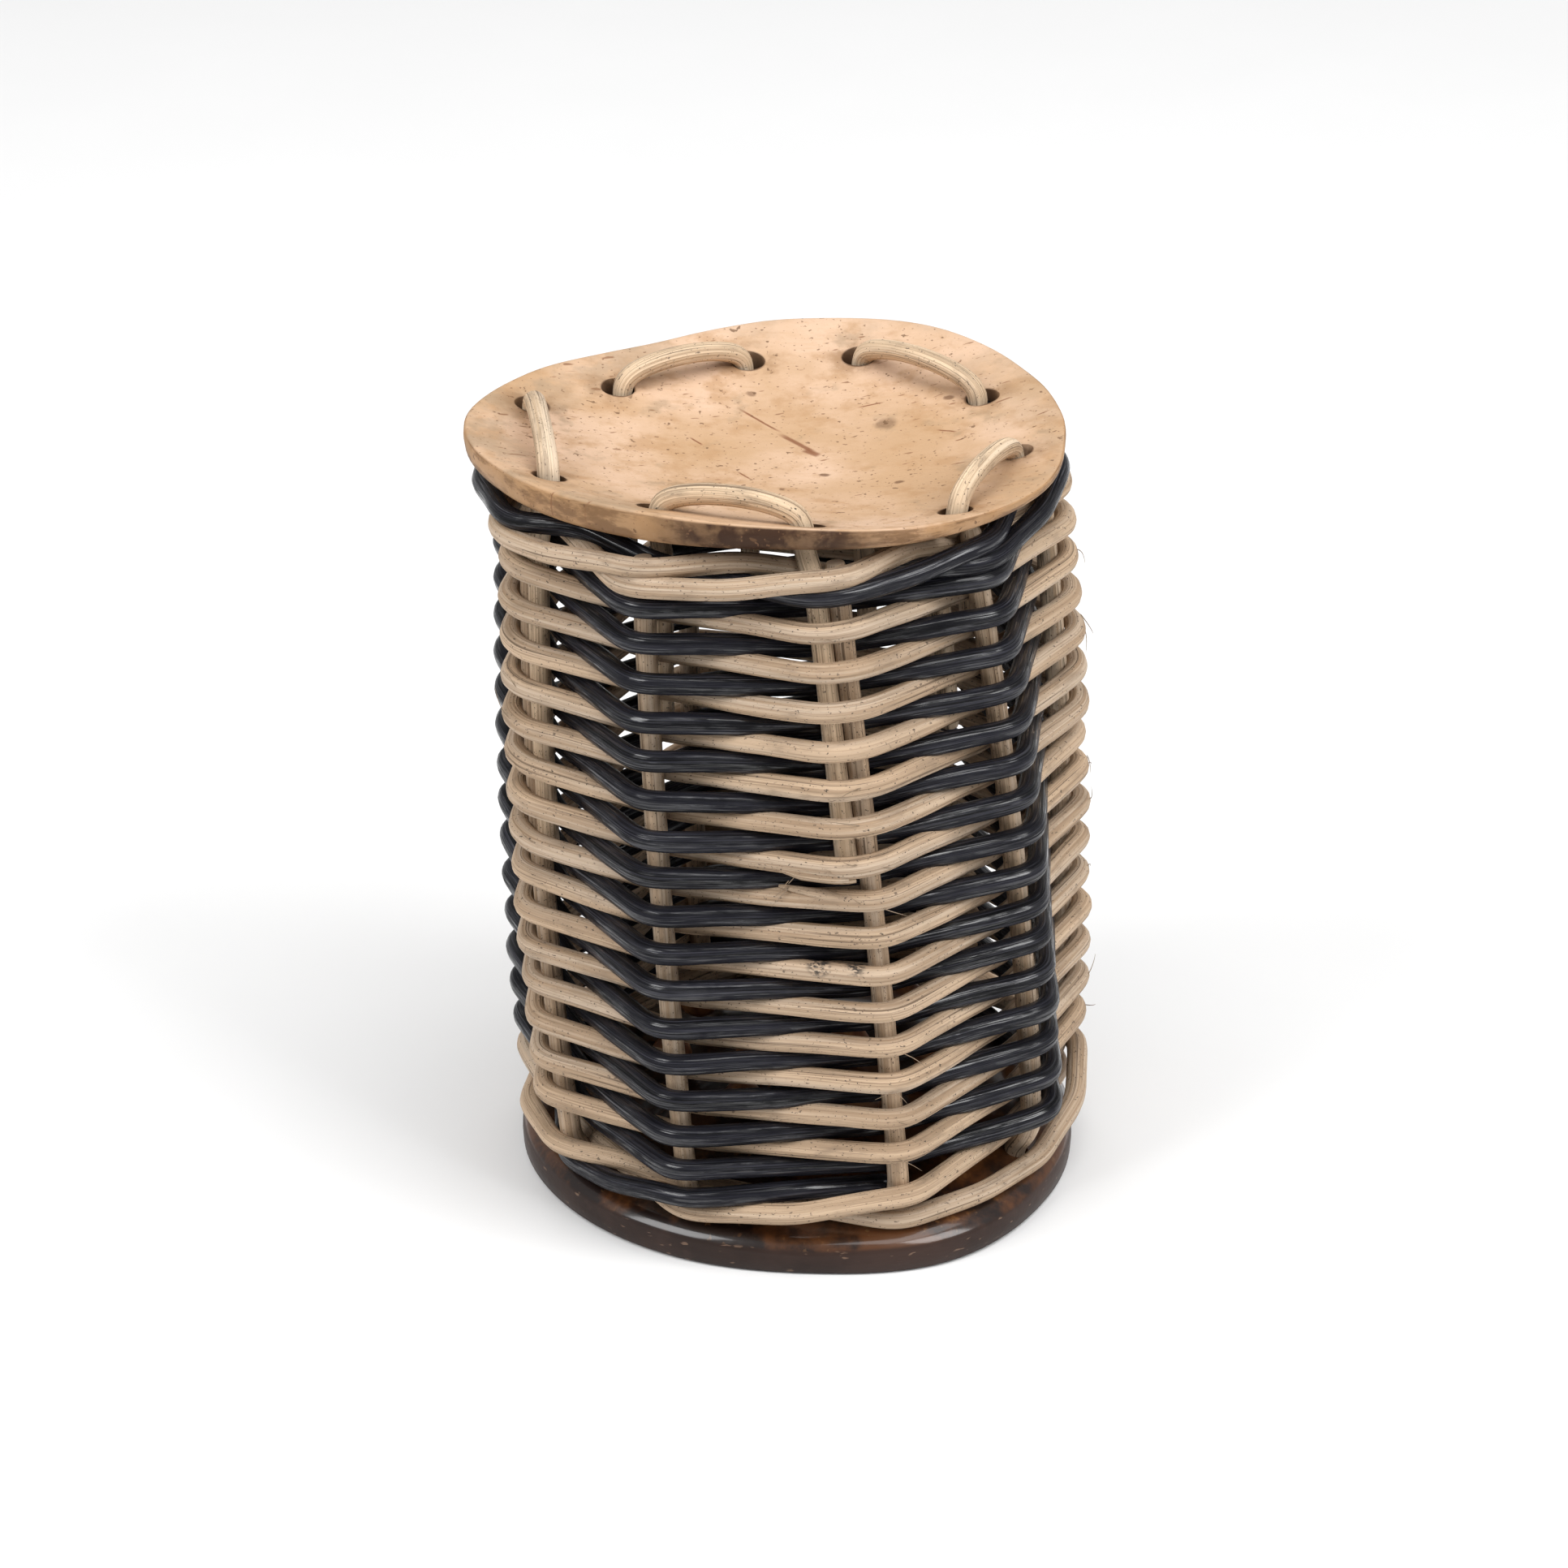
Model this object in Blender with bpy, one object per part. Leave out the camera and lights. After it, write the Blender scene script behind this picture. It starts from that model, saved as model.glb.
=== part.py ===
"""A two-colour woven rattan basket shaker, modelled as its separate pieces.

Eight upright canes (four long canes bent into U-shaped stakes through a coconut shell
foot plate) carry a plain weave of two chasing weavers, one natural and one black, between
a three-rod wale at the foot and another at the head. A gourd disc closes the top, sewn on
with five cane stitches, and loose seeds slide inside.

Lengths are in millimetres and become metres when an object is made. The foot stands on
z = 0, +Z is up, the front faces -Y, and angles run from the front towards +X.
"""

import math

import bmesh
import bpy
from mathutils import Vector

MM = 0.001

# Canes
WEAVER_THICK = 2.4
WALE_THICK = 2.2
STAKE_THICK = 2.6
STITCH_THICK = 2.6
TUBE_SIDES_STEP = 1
GRIP = 2.75            # centre of a stake to the centre of the weaver that wraps it
WRAP_HALF = 1.2        # half the flat of a weaver's bend round a stake
PAIR = 2.9             # centre of a stake to the centre of the stitch leg beside it
CUT_GAP = 0.62         # between two lengths of cane that meet behind a stake

# Wall
STAKES = 8
STAKE_TOP = 104.9
STAKE_END = 102.6       # where the uprights are cut off
FOOT_ANGLES = (-102.0, -57.0, -23.5, 22.5, 62.0, 98.0, 150.0, 203.0)
HEAD_ANGLES = (-105.0, -68.0, -29.5, 12.5, 46.0, 90.0, 147.0, 201.0)
BELLY_RADIUS = 36.7
BELLY_HEIGHT = 42.0
BELLY_CURVE = 0.00073  # how fast the wall narrows away from the belly
LEAN = 0.034           # the hand-made wall leans to -X by this much of its height
CENTRE_X = 2.71        # the foot plate's centre, so that the whole is centred on x = 0
CENTRE_Y = 0.69
TILT_HEIGHT = 20.0     # the rows tilt with the lean above this height

# Weave: rows rise by one pitch per round, towards smaller angles
PITCH = 5.53
SWING = 0.6            # a weaver sits this much higher outside a stake, lower inside
BLACK_ROW = 14.8       # height of the black row at stake 2, half a pitch under the natural
LOWEST_ROW = 13.3      # the first and last bends lie against the wales
HIGHEST_ROW = 97.8
NATURAL_CUTS = (8, -16, -40, -64, -90, -114)
BLACK_CUTS = (5, -19, -43, -69, -93, -119)

# Wales: each rod's strokes, by first outside stake and number of stakes passed outside
FOOT_WALE = {"first": 7.8, "second": 11.0, "over": 11.2, "inside": 9.7, "under": 8.3}
HEAD_WALE = {"first": 100.5, "second": 102.9, "over": 103.3, "inside": 101.0, "under": 100.8}
HEAD_WALE_SAG = 0.9    # how much lower the head wale runs at +X than in the middle
WALE_BOW = 2.0
WALE_CROSS = -1.5
FOOT_RODS = (
    ("natural_1", ((0, 2), (3, 3), (7, 2))),
    ("black_1", ((1, 2),)),
    ("natural_2", ((2, 2), (5, 2))),
    ("black_2", ((6, 2),)),
)
HEAD_RODS = (
    ("black_1", ((0, 2), (3, 2), (6, 2))),
    ("natural_1", ((1, 2),)),
    ("black_2", ((4, 2), (7, 2))),
    ("natural_2", ((2, 2), (5, 2))),
)

# Coconut shell foot plate
FOOT_RADIUS = 38.4
FOOT_RIM = 4.1
SHELL_RADIUS = 82.0
SHELL_THICK = 3.6
FOOT_LAND_INNER = 35.6
FOOT_GROOVE_OUTER = 35.2
FOOT_GROOVE_INNER = 30.0
FOOT_GROOVE_HEIGHT = 3.5
FOOT_SEGMENTS = 40
FOOT_HOLE_RING = 33.5
FOOT_HOLE_RADIUS = 1.9
LOOP_HEIGHT = 1.9

# Gourd head plate: rim radius and rim height every 30 degrees from the front towards +X
HEAD_RADII = (37.7, 38.5, 39.3, 38.5, 39.4, 41.1, 37.9, 35.6, 39.2, 41.3, 39.2, 37.8)
HEAD_RIM_HEIGHTS = (
    *(110.6, 109.0, 108.2, 108.1, 108.2, 108.3),
    *(107.8, 107.3, 107.8, 108.5, 109.5, 110.8),
)
HEAD_THICK = 2.0
HEAD_HOLLOW = 5.6
HEAD_SEGMENTS = 40
HEAD_RINGS = (0.35, 0.66, 0.86, 1.0)
HEAD_HOLE_RADIUS = 2.1

# Stitches: name, then for each end the hole's angle and radius, the stake it goes down
# beside or just after, its side of it (-1 left, +1 right, 0 inside the weave), and its end
STITCHES = (
    ("front", (-30.3, 28.6, 1, 0, 78.0), (7.0, 31.4, 3, -1, 61.0)),
    ("right", (44.5, 29.6, 3, 0, 74.0), (83.0, 32.3, 5, -1, 66.0)),
    ("back_right", (118.8, 27.9, 5, 0, 70.0), (157.0, 29.4, 6, 0, 64.0)),
    ("back_left", (188.9, 28.4, 6, 0, 68.0), (227.1, 28.6, 7, 0, 76.0)),
    ("left", (250.5, 32.4, 8, -1, 62.0), (296.4, 32.0, 9, 1, 56.0)),
)
ARCH_START = 0.9       # the arch leaves its holes this far over the plate
ARCH_RISE = 2.1
INBOARD = 5.9          # a leg inside the weave keeps this far in from a stake
INBOARD_BETWEEN = 3.4  # and this far in from the canes between two stakes
LEG_TOP_HEIGHTS = (101.8, 99.8)
LEG_ENTRY = -0.4       # the leg reaches the ring of stakes from just inside it
LEG_STEP = 14.0

# Seeds: ring radius and count
SEED_RINGS = ((7.6, 3), (18.6, 7))
SEED_RADII = (3.4, 2.8, 2.6)
SEED_GAP = 0.4


def clear_scene():
    for obj in list(bpy.data.objects):
        bpy.data.objects.remove(obj)


def material(name, colour, roughness):
    made = bpy.data.materials.new(name)
    made.use_nodes = True
    shader = made.node_tree.nodes["Principled BSDF"]
    shader.inputs["Base Color"].default_value = (*colour, 1.0)
    shader.inputs["Roughness"].default_value = roughness
    shader.inputs["Metallic"].default_value = 0.0
    return made


def smooth_step(value):
    share = min(max(value, 0.0), 1.0)
    return share * share * (3.0 - 2.0 * share)


# Wall geometry


def stake_angle(index, height):
    """Angle of a stake. An index past the last stake is the same stake one turn on."""
    turn, stake = divmod(index, STAKES)
    share = height / STAKE_TOP
    degrees = FOOT_ANGLES[stake] * (1.0 - share) + HEAD_ANGLES[stake] * share
    return math.radians(degrees + 360.0 * turn)


def wall_radius(height):
    """Radius of the ring of stakes, drawn in a little where they enter the foot plate."""
    wall = BELLY_RADIUS - BELLY_CURVE * (height - BELLY_HEIGHT) ** 2
    drawn_in = 1.0 - smooth_step((height - 6.0) / 5.0)
    return wall + (FOOT_HOLE_RING - wall) * drawn_in


def place(across, ahead, height):
    """A point of the leaning wall from its flat position: across to +X, ahead to -Y."""
    tilt = LEAN * smooth_step(height / TILT_HEIGHT)
    x = CENTRE_X + across - LEAN * height
    return Vector((x, CENTRE_Y - ahead, height + tilt * across))


def beside(angle, radius, sideways, height):
    """A point at a radius, moved sideways along the wall."""
    across = radius * math.sin(angle) + sideways * math.cos(angle)
    ahead = radius * math.cos(angle) - sideways * math.sin(angle)
    return place(across, ahead, height)


def at_stake(index, outwards, sideways, height):
    angle = stake_angle(index, height)
    return beside(angle, wall_radius(height) + outwards, sideways, height)


def between_stakes(index, outwards, height):
    """A point halfway between a stake and the next one."""
    angle = (stake_angle(index, height) + stake_angle(index + 1, height)) / 2.0
    return beside(angle, wall_radius(height) + outwards, 0.0, height)


def leg_width(index, side, height):
    """How far a bend is widened on one side by a stitch leg beside the stake."""
    for _, *ends in STITCHES:
        for _, _, stake, leg_side, low in ends:
            if (stake - index) % STAKES == 0 and leg_side == side and height > low - GRIP:
                return PAIR
    return 0.0


def wrap(index, outside, height):
    """Points of a weaver as it passes a stake, in the order of rising angles."""
    left = -leg_width(index, -1, height)
    right = leg_width(index, 1, height)
    if outside:
        return [at_stake(index, GRIP, s, height) for s in (left - WRAP_HALF, right + WRAP_HALF)]
    sides = [left, right] if right > left else [0.0]
    return [at_stake(index, -GRIP, s, height) for s in sides]


def trimmed(points, amount):
    """The same line with a little cut off each end."""
    first = points[0] + (points[1] - points[0]).normalized() * amount
    last = points[-1] + (points[-2] - points[-1]).normalized() * amount
    return [first, *points[1:-1], last]


# Objects


def tube(name, points, thickness, finish):
    curve = bpy.data.curves.new(name, "CURVE")
    curve.dimensions = "3D"
    curve.bevel_depth = thickness / 2.0 * MM
    curve.bevel_resolution = TUBE_SIDES_STEP
    curve.use_fill_caps = True
    spline = curve.splines.new("POLY")
    spline.points.add(len(points) - 1)
    for target, point in zip(spline.points, points):
        target.co = (*(point * MM), 1.0)
    spline.use_smooth = True
    obj = bpy.data.objects.new(name, curve)
    obj.data.materials.append(finish)
    bpy.context.scene.collection.objects.link(obj)
    return obj


def mesh_object(name, shape, finish):
    bmesh.ops.recalc_face_normals(shape, faces=shape.faces)
    mesh = bpy.data.meshes.new(name)
    shape.to_mesh(mesh)
    shape.free()
    mesh.shade_smooth()
    mesh.set_sharp_from_angle(angle=math.radians(40.0))
    obj = bpy.data.objects.new(name, mesh)
    if finish:
        mesh.materials.append(finish)
    bpy.context.scene.collection.objects.link(obj)
    return obj


def drill(target, name, low, high, radius):
    """Cuts a round hole along the line from low to high."""
    shape = bmesh.new()
    axis = (high - low) * MM
    bmesh.ops.create_cone(
        shape,
        cap_ends=True,
        segments=8,
        radius1=radius * MM,
        radius2=radius * MM,
        depth=axis.length,
    )
    cutter = mesh_object(name, shape, None)
    cutter.location = (low + high) / 2.0 * MM
    cutter.rotation_mode = "QUATERNION"
    cutter.rotation_quaternion = Vector((0.0, 0.0, 1.0)).rotation_difference(axis.normalized())
    cutter.hide_render = True
    cutter.display_type = "WIRE"
    hole = target.modifiers.new(name, "BOOLEAN")
    hole.operation = "DIFFERENCE"
    hole.solver = "EXACT"
    hole.object = cutter


# Pieces of the wall


def weaver(name, colour, cuts, first_row, outside_even, finish):
    """One colour of the weave, as the lengths of cane it is made of."""
    for number, (start, stop) in enumerate(zip(cuts, cuts[1:]), 1):
        points = []
        for index in range(start, stop - 1, -1):
            outside = (index % 2 == 0) == outside_even
            height = first_row + PITCH * (2 - index) / STAKES
            height += SWING if outside else -SWING
            height = min(max(height, LOWEST_ROW), HIGHEST_ROW)
            bend = wrap(index, outside, height)
            middle = (bend[0] + bend[-1]) / 2.0
            if index == start:
                bend = [*bend[:-1], middle]
            if index == stop:
                bend = [middle, *bend[1:]]
            points.extend(reversed(bend))
        tube(f"{name}_{colour}_{number}", trimmed(points, CUT_GAP / 2.0), WEAVER_THICK, finish)


def wale_stroke(index, stakes, heights, sag):
    """A stroke: from inside the stake before, outside some stakes, to inside the next."""

    def level(name, place_in):
        turn = (stake_angle(math.floor(place_in), 0.0) + stake_angle(math.ceil(place_in), 0.0)) / 2.0
        return heights[name] - sag * math.sin(turn)

    last = index + stakes - 1
    points = [at_stake(index - 1, -GRIP, 0.0, level("inside", index - 1))]
    points.append(between_stakes(index - 1, WALE_CROSS, level("under", index - 0.5)))
    for passed in range(index, last):
        here = level("first", passed)
        after = level("second" if passed + 1 == last else "first", passed + 1)
        points.extend(wrap(passed, True, here))
        points.append(between_stakes(passed, WALE_BOW, (here + after) / 2.0))
    points.extend(wrap(last, True, level("second", last)))
    points.append(between_stakes(last, WALE_CROSS, level("over", last + 0.5)))
    points.append(at_stake(last + 1, -GRIP, 0.0, level("inside", last + 1)))
    return points


def wale(name, rods, heights, sag, finishes):
    for colour, strokes in rods:
        points = wale_stroke(*strokes[0], heights, sag)
        for stroke in strokes[1:]:
            points.extend(wale_stroke(*stroke, heights, sag)[1:])
        finish = finishes[colour.split("_")[0]]
        tube(f"{name}_{colour}", trimmed(points, CUT_GAP / 2.0), WALE_THICK, finish)


def stake_line(index):
    """One upright, from the foot plate to its upper end."""
    heights = [7.0, 9.0, 11.5, 20.0, 32.0, 44.0, 56.0, 68.0, 80.0, 92.0, STAKE_END]
    return [at_stake(index, 0.0, 0.0, height) for height in heights]


def stake_pair(number, finish):
    """A cane bent into two stakes, its loop lying in the groove under the foot plate."""
    left, right = 2 * number, 2 * number + 1
    corners = []
    for index, towards in ((left, 1.0), (right, -1.0)):
        low = [at_stake(index, 0.0, 0.0, 3.4)]
        low.append(at_stake(index, -0.1, towards * 0.6, 2.3))
        low.append(at_stake(index, -0.3, towards * 1.9, LOOP_HEIGHT))
        corners.append(low)
    points = list(reversed(stake_line(left))) + corners[0]
    points += list(reversed(corners[1])) + stake_line(right)
    return tube(f"stake_pair_{number + 1}", points, STAKE_THICK, finish)


# Plates


def shell_height(radius, ball):
    """Height over the ground of a ball's surface, the ball sharing the shell's centre."""
    centre = FOOT_RIM - math.sqrt(SHELL_RADIUS**2 - FOOT_RADIUS**2)
    return centre + math.sqrt(ball**2 - radius**2)


def foot_profile():
    inner = SHELL_RADIUS - SHELL_THICK
    upper = [(r, shell_height(r, SHELL_RADIUS)) for r in (0.0, 14.0, 26.0, 33.5, 38.0)]
    rim = [(FOOT_RADIUS, FOOT_RIM - 0.4), (FOOT_RADIUS, 0.3), (FOOT_RADIUS - 0.3, 0.0)]
    land = [(FOOT_LAND_INNER, 0.0), (FOOT_GROOVE_OUTER, FOOT_GROOVE_HEIGHT)]
    groove = [(FOOT_GROOVE_INNER, shell_height(FOOT_GROOVE_INNER, inner))]
    lower = [(r, shell_height(r, inner)) for r in (20.0, 0.0)]
    return upper + rim + land + groove + lower


def foot_plate(finish):
    shape = bmesh.new()
    centre = Vector((CENTRE_X, CENTRE_Y, 0.0)) * MM
    rings = []
    for radius, height in foot_profile():
        if radius == 0.0:
            rings.append([shape.verts.new(centre + Vector((0.0, 0.0, height * MM)))])
            continue
        ring = []
        for step in range(FOOT_SEGMENTS):
            angle = math.tau * step / FOOT_SEGMENTS
            flat = Vector((math.sin(angle), -math.cos(angle), 0.0)) * radius * MM
            ring.append(shape.verts.new(centre + flat + Vector((0.0, 0.0, height * MM))))
        rings.append(ring)
    bridge(shape, rings)
    plate = mesh_object("foot_plate", shape, finish)
    for index in range(STAKES):
        low = at_stake(index, 0.0, 0.0, 0.0)
        high = at_stake(index, 0.0, 0.0, 4.0) + Vector((0.0, 0.0, 8.0))
        low.x = high.x
        low.y = high.y
        drill(plate, f"foot_hole_{index + 1}", low, high, FOOT_HOLE_RADIUS)
    return plate


def bridge(shape, rings):
    """Skins neighbouring rings. A ring of one point closes the skin as a fan."""
    for one, two in zip(rings, rings[1:]):
        count = max(len(one), len(two))
        for step in range(count):
            after = (step + 1) % count
            corners = [one[step % len(one)], one[after % len(one)]]
            corners += [two[after % len(two)], two[step % len(two)]]
            shape.faces.new(list(dict.fromkeys(corners)))


def around(values, angle):
    """Smooth value at an angle, through values that are evenly spaced round a turn."""
    place_in = (angle / math.tau * len(values)) % len(values)
    index = int(place_in)
    share = place_in - index
    a, b, c, d = (values[(index + step) % len(values)] for step in (-1, 0, 1, 2))
    bend = 2.0 * a - 5.0 * b + 4.0 * c - d
    curl = -a + 3.0 * b - 3.0 * c + d
    return 0.5 * (2.0 * b + (c - a) * share + bend * share**2 + curl * share**3)


def head_height(angle, share):
    """Upper surface of the gourd disc: a shallow bowl whose rim wavers."""
    mean = sum(HEAD_RIM_HEIGHTS) / len(HEAD_RIM_HEIGHTS)
    rim = mean + (around(HEAD_RIM_HEIGHTS, angle) - mean) * share**2
    return rim - HEAD_HOLLOW * (1.0 - share**2)


def head_point(angle, radius, drop):
    share = radius / around(HEAD_RADII, angle)
    height = head_height(angle, share) - drop
    x = CENTRE_X - LEAN * STAKE_TOP + radius * math.sin(angle)
    return Vector((x, CENTRE_Y - radius * math.cos(angle), height))


def head_plate(finish):
    shape = bmesh.new()
    skins = []
    for drop in (0.0, HEAD_THICK):
        skin = [[shape.verts.new(head_point(0.0, 0.0, drop) * MM)]]
        for share in HEAD_RINGS:
            ring = []
            for step in range(HEAD_SEGMENTS):
                angle = math.tau * step / HEAD_SEGMENTS
                point = head_point(angle, around(HEAD_RADII, angle) * share, drop)
                ring.append(shape.verts.new(point * MM))
            skin.append(ring)
        skins.append(skin)
    bridge(shape, skins[0] + list(reversed(skins[1])))
    plate = mesh_object("head_plate", shape, finish)
    for name, *ends in STITCHES:
        for side, (degrees, radius, *_) in zip(("a", "b"), ends):
            angle = math.radians(degrees)
            high = head_point(angle, radius, -3.0)
            low = head_point(angle, radius, HEAD_THICK + 3.0)
            drill(plate, f"head_hole_{name}_{side}", low, high, HEAD_HOLE_RADIUS)
    return plate


def inboard_radius(index, angle, height):
    """Where a leg clears the canes, which run straight between this stake and the next."""
    one, two = stake_angle(index, height), stake_angle(index + 1, height)
    half = (two - one) / 2.0
    offset = angle - (one + two) / 2.0
    chord = wall_radius(height) * math.cos(half) / math.cos(offset)
    return chord - INBOARD_BETWEEN - (INBOARD - INBOARD_BETWEEN) * (offset / half) ** 2


def stitch_leg(end):
    """The line of a leg from the plate down to its lower end."""
    degrees, radius, stake, side, low = end
    angle = math.radians(degrees)
    points = [head_point(angle, radius, drop) for drop in (-ARCH_START, 0.4, HEAD_THICK + 0.7)]
    heights = list(LEG_TOP_HEIGHTS)
    while heights[-1] - LEG_STEP > low:
        heights.append(heights[-1] - LEG_STEP)
    heights.append(low)
    for height in heights:
        entry = LEG_ENTRY if height == heights[0] else 0.0
        if side:
            points.append(at_stake(stake, entry, side * PAIR, height))
        else:
            points.append(beside(angle, inboard_radius(stake, angle, height), 0.0, height))
    return points


def stitch(name, one, two, finish):
    """A cane that arches over the plate between two holes, with a leg down from each."""
    first, second = stitch_leg(one), stitch_leg(two)
    over = []
    for share, rise in ((0.1, 0.5), (0.3, 0.9), (0.5, 1.0), (0.7, 0.9), (0.9, 0.5)):
        point = first[0].lerp(second[0], share)
        point.z += ARCH_RISE * rise
        over.append(point)
    points = list(reversed(first)) + over + second
    return tube(f"stitch_{name}", points, STITCH_THICK, finish)


# Contents


def seed(number, radius, angle, finish):
    shape = bmesh.new()
    bmesh.ops.create_icosphere(shape, subdivisions=2, radius=1.0)
    long, wide, high = SEED_RADII
    for vert in shape.verts:
        vert.co = Vector((vert.co.x * long, vert.co.y * wide, vert.co.z * high)) * MM
    obj = mesh_object(f"seed_{number:02d}", shape, finish)
    rest = shell_height(max(radius - 2.0, 0.0), SHELL_RADIUS) + high + SEED_GAP
    x = CENTRE_X + radius * math.sin(angle)
    obj.location = Vector((x, CENTRE_Y - radius * math.cos(angle), rest)) * MM
    obj.rotation_euler = (0.0, 0.0, angle * 1.7)
    return obj


def seeds(finish):
    number = 1
    for radius, count in SEED_RINGS:
        for step in range(count):
            seed(number, radius, math.tau * (step + 0.5) / count, finish)
            number += 1


def main():
    clear_scene()
    natural = material("natural_cane", (0.58, 0.40, 0.23), 0.55)
    black = material("black_cane", (0.026, 0.025, 0.032), 0.45)
    gourd = material("gourd", (0.72, 0.46, 0.24), 0.5)
    coconut = material("coconut_shell", (0.06, 0.03, 0.022), 0.35)
    seed_coat = material("seed", (0.35, 0.16, 0.06), 0.4)
    finishes = {"natural": natural, "black": black}
    foot_plate(coconut)
    head_plate(gourd)
    for number in range(STAKES // 2):
        stake_pair(number, natural)
    wale("foot_wale", FOOT_RODS, FOOT_WALE, 0.0, finishes)
    wale("head_wale", HEAD_RODS, HEAD_WALE, HEAD_WALE_SAG, finishes)
    natural_row = BLACK_ROW + PITCH / 2.0
    weaver("weaver", "natural", NATURAL_CUTS, natural_row, False, natural)
    weaver("weaver", "black", BLACK_CUTS, BLACK_ROW, True, black)
    for name, one, two in STITCHES:
        stitch(name, one, two, natural)
    seeds(seed_coat)


main()
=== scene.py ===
"""Looks of the rattan basket shaker: canes with grain, gourd disc, coconut foot and seeds.

Lengths are in millimetres and become metres when a mesh is made. Angles run from the front,
which faces -Y, towards +X. The wall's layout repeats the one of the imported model.
"""

import math
import random

import bmesh
import bpy
import numpy as np
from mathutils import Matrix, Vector


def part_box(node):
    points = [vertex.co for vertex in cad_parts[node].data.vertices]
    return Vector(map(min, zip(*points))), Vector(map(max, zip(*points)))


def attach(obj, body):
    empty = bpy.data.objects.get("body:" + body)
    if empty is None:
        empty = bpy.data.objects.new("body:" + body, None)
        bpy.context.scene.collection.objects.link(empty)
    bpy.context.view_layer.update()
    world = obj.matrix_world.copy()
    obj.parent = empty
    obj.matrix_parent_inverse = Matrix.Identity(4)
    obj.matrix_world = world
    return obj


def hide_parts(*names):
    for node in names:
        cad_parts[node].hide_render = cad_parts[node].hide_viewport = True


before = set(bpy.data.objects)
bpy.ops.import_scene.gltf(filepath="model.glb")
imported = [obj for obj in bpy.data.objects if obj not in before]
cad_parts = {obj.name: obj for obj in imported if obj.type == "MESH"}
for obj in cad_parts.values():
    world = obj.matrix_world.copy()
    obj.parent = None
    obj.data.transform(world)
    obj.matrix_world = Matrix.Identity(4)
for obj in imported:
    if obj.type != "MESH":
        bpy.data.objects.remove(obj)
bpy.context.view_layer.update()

MM = 0.001
BODY = "basket"

# Wall layout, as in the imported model
STAKES = 8
STAKE_TOP = 104.9
FOOT_ANGLES = (-102.0, -57.0, -23.5, 22.5, 62.0, 98.0, 150.0, 203.0)
HEAD_ANGLES = (-105.0, -68.0, -29.5, 12.5, 46.0, 90.0, 147.0, 201.0)
BELLY_RADIUS = 37.4
BELLY_HEIGHT = 42.0
BELLY_CURVE = 0.00073
LEAN = 0.034
CENTRE_X = 2.71
CENTRE_Y = 0.69
WALL_MIDDLE_X = CENTRE_X - LEAN * BELLY_HEIGHT    # at the belly
WAVER_MIDDLE_X = CENTRE_X - 1.5
TILT_HEIGHT = 20.0
FOOT_HOLE_RING = 33.5
GRIP = 3.05
PAIR = 2.9
INBOARD = 5.9
INBOARD_BETWEEN = 3.4

PITCH = 5.53
SWING = 0.6
BACK_SWING = -1.8       # added low down at the back, where the rows are packed tighter
PACKED_BELOW = 30.0
LOOSE_ABOVE = 50.0
BLACK_ROW = 15.0
NATURAL_ROW = 18.1
LOWEST_ROW = 13.3
HIGHEST_ROW = 97.8
NATURAL_CUTS = (8, -16, -40, -64, -90, -114)
BLACK_CUTS = (5, -19, -43, -69, -93, -119)
FOOT_WALE = {
    **{"first": 7.8, "second": 11.0, "over": 11.2, "inside": 9.7, "under": 8.3},
    **{"sag": 0.0, "swell": 0.0, "drop_behind": 0.6},
}
HEAD_WALE = {
    **{"first": 100.5, "second": 102.9, "over": 103.5, "inside": 101.0, "under": 100.8},
    **{"sag": 1.1, "swell": 2.0, "drop_behind": 0.0},
}
WALE_BOW = 2.6
WALE_CROSS = -1.5
LONG_STROKE_DROP = 1.3     # a stroke past three stakes lies lower
LONG_STROKE_BULGE = 1.4    # and farther out
FOOT_RODS = (
    ("natural_1", ((0, 2), (3, 3), (7, 2))),
    ("black_1", ((1, 2),)),
    ("natural_2", ((2, 2), (5, 2))),
    ("black_2", ((6, 2),)),
)
HEAD_RODS = (
    ("black_1", ((0, 2), (3, 2), (6, 2))),
    ("natural_1", ((1, 2),)),
    ("black_2", ((4, 2), (7, 2))),
    ("natural_2", ((2, 2), (5, 2))),
)
STITCHES = (
    ("front", (-30.3, 29.7, 1, 0, 78.0), (6.5, 31.8, 3, -1, 61.0)),
    ("right", (44.5, 33.4, 3, 0, 74.0), (81.5, 31.8, 5, -1, 66.0)),
    ("back_right", (118.8, 31.2, 5, 0, 70.0), (157.6, 31.0, 6, 0, 64.0)),
    ("back_left", (188.9, 28.2, 6, 0, 68.0), (227.1, 28.5, 7, 0, 76.0)),
    ("left", (252.5, 34.2, 8, -1, 62.0), (296.4, 33.0, 9, 1, 56.0)),
)
ARCH_START = 0.9
ARCH_RISE = 2.1
LEG_TOP_HEIGHTS = (101.8, 99.8)

# Thickness of the real canes
WEAVER_THICK = 2.9
STAKE_THICK = 2.9
STITCH_THICK = 2.8
HOLE_RADIUS = 2.2
HOLE_SHIFT = 0.6
FIBRE_THICK = 0.13
FIBRES = 46

# Plates
FOOT_RADIUS = 38.4
FOOT_RADII = (38.2, 40.6, 39.0, 37.8, 38.0, 38.2, 38.4, 38.4, 38.8, 39.2, 38.6, 38.2)
FOOT_RIM = 4.1
SHELL_RADIUS = 82.0
SHELL_THICK = 3.6
HEAD_RADII = (37.7, 38.5, 39.3, 38.5, 39.4, 41.1, 37.9, 35.6, 39.2, 41.3, 39.2, 37.8)
HEAD_RIM_HEIGHTS = (
    *(110.6, 108.7, 107.7, 107.7, 108.0, 108.3),
    *(107.8, 107.3, 107.8, 108.5, 109.5, 110.8),
)
HEAD_RIM_THICKS = (3.3, 2.3, 1.4, 1.6, 2.0, 2.4, 2.4, 2.4, 2.6, 3.0, 3.8, 4.2)
HEAD_THICK = 2.6
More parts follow.
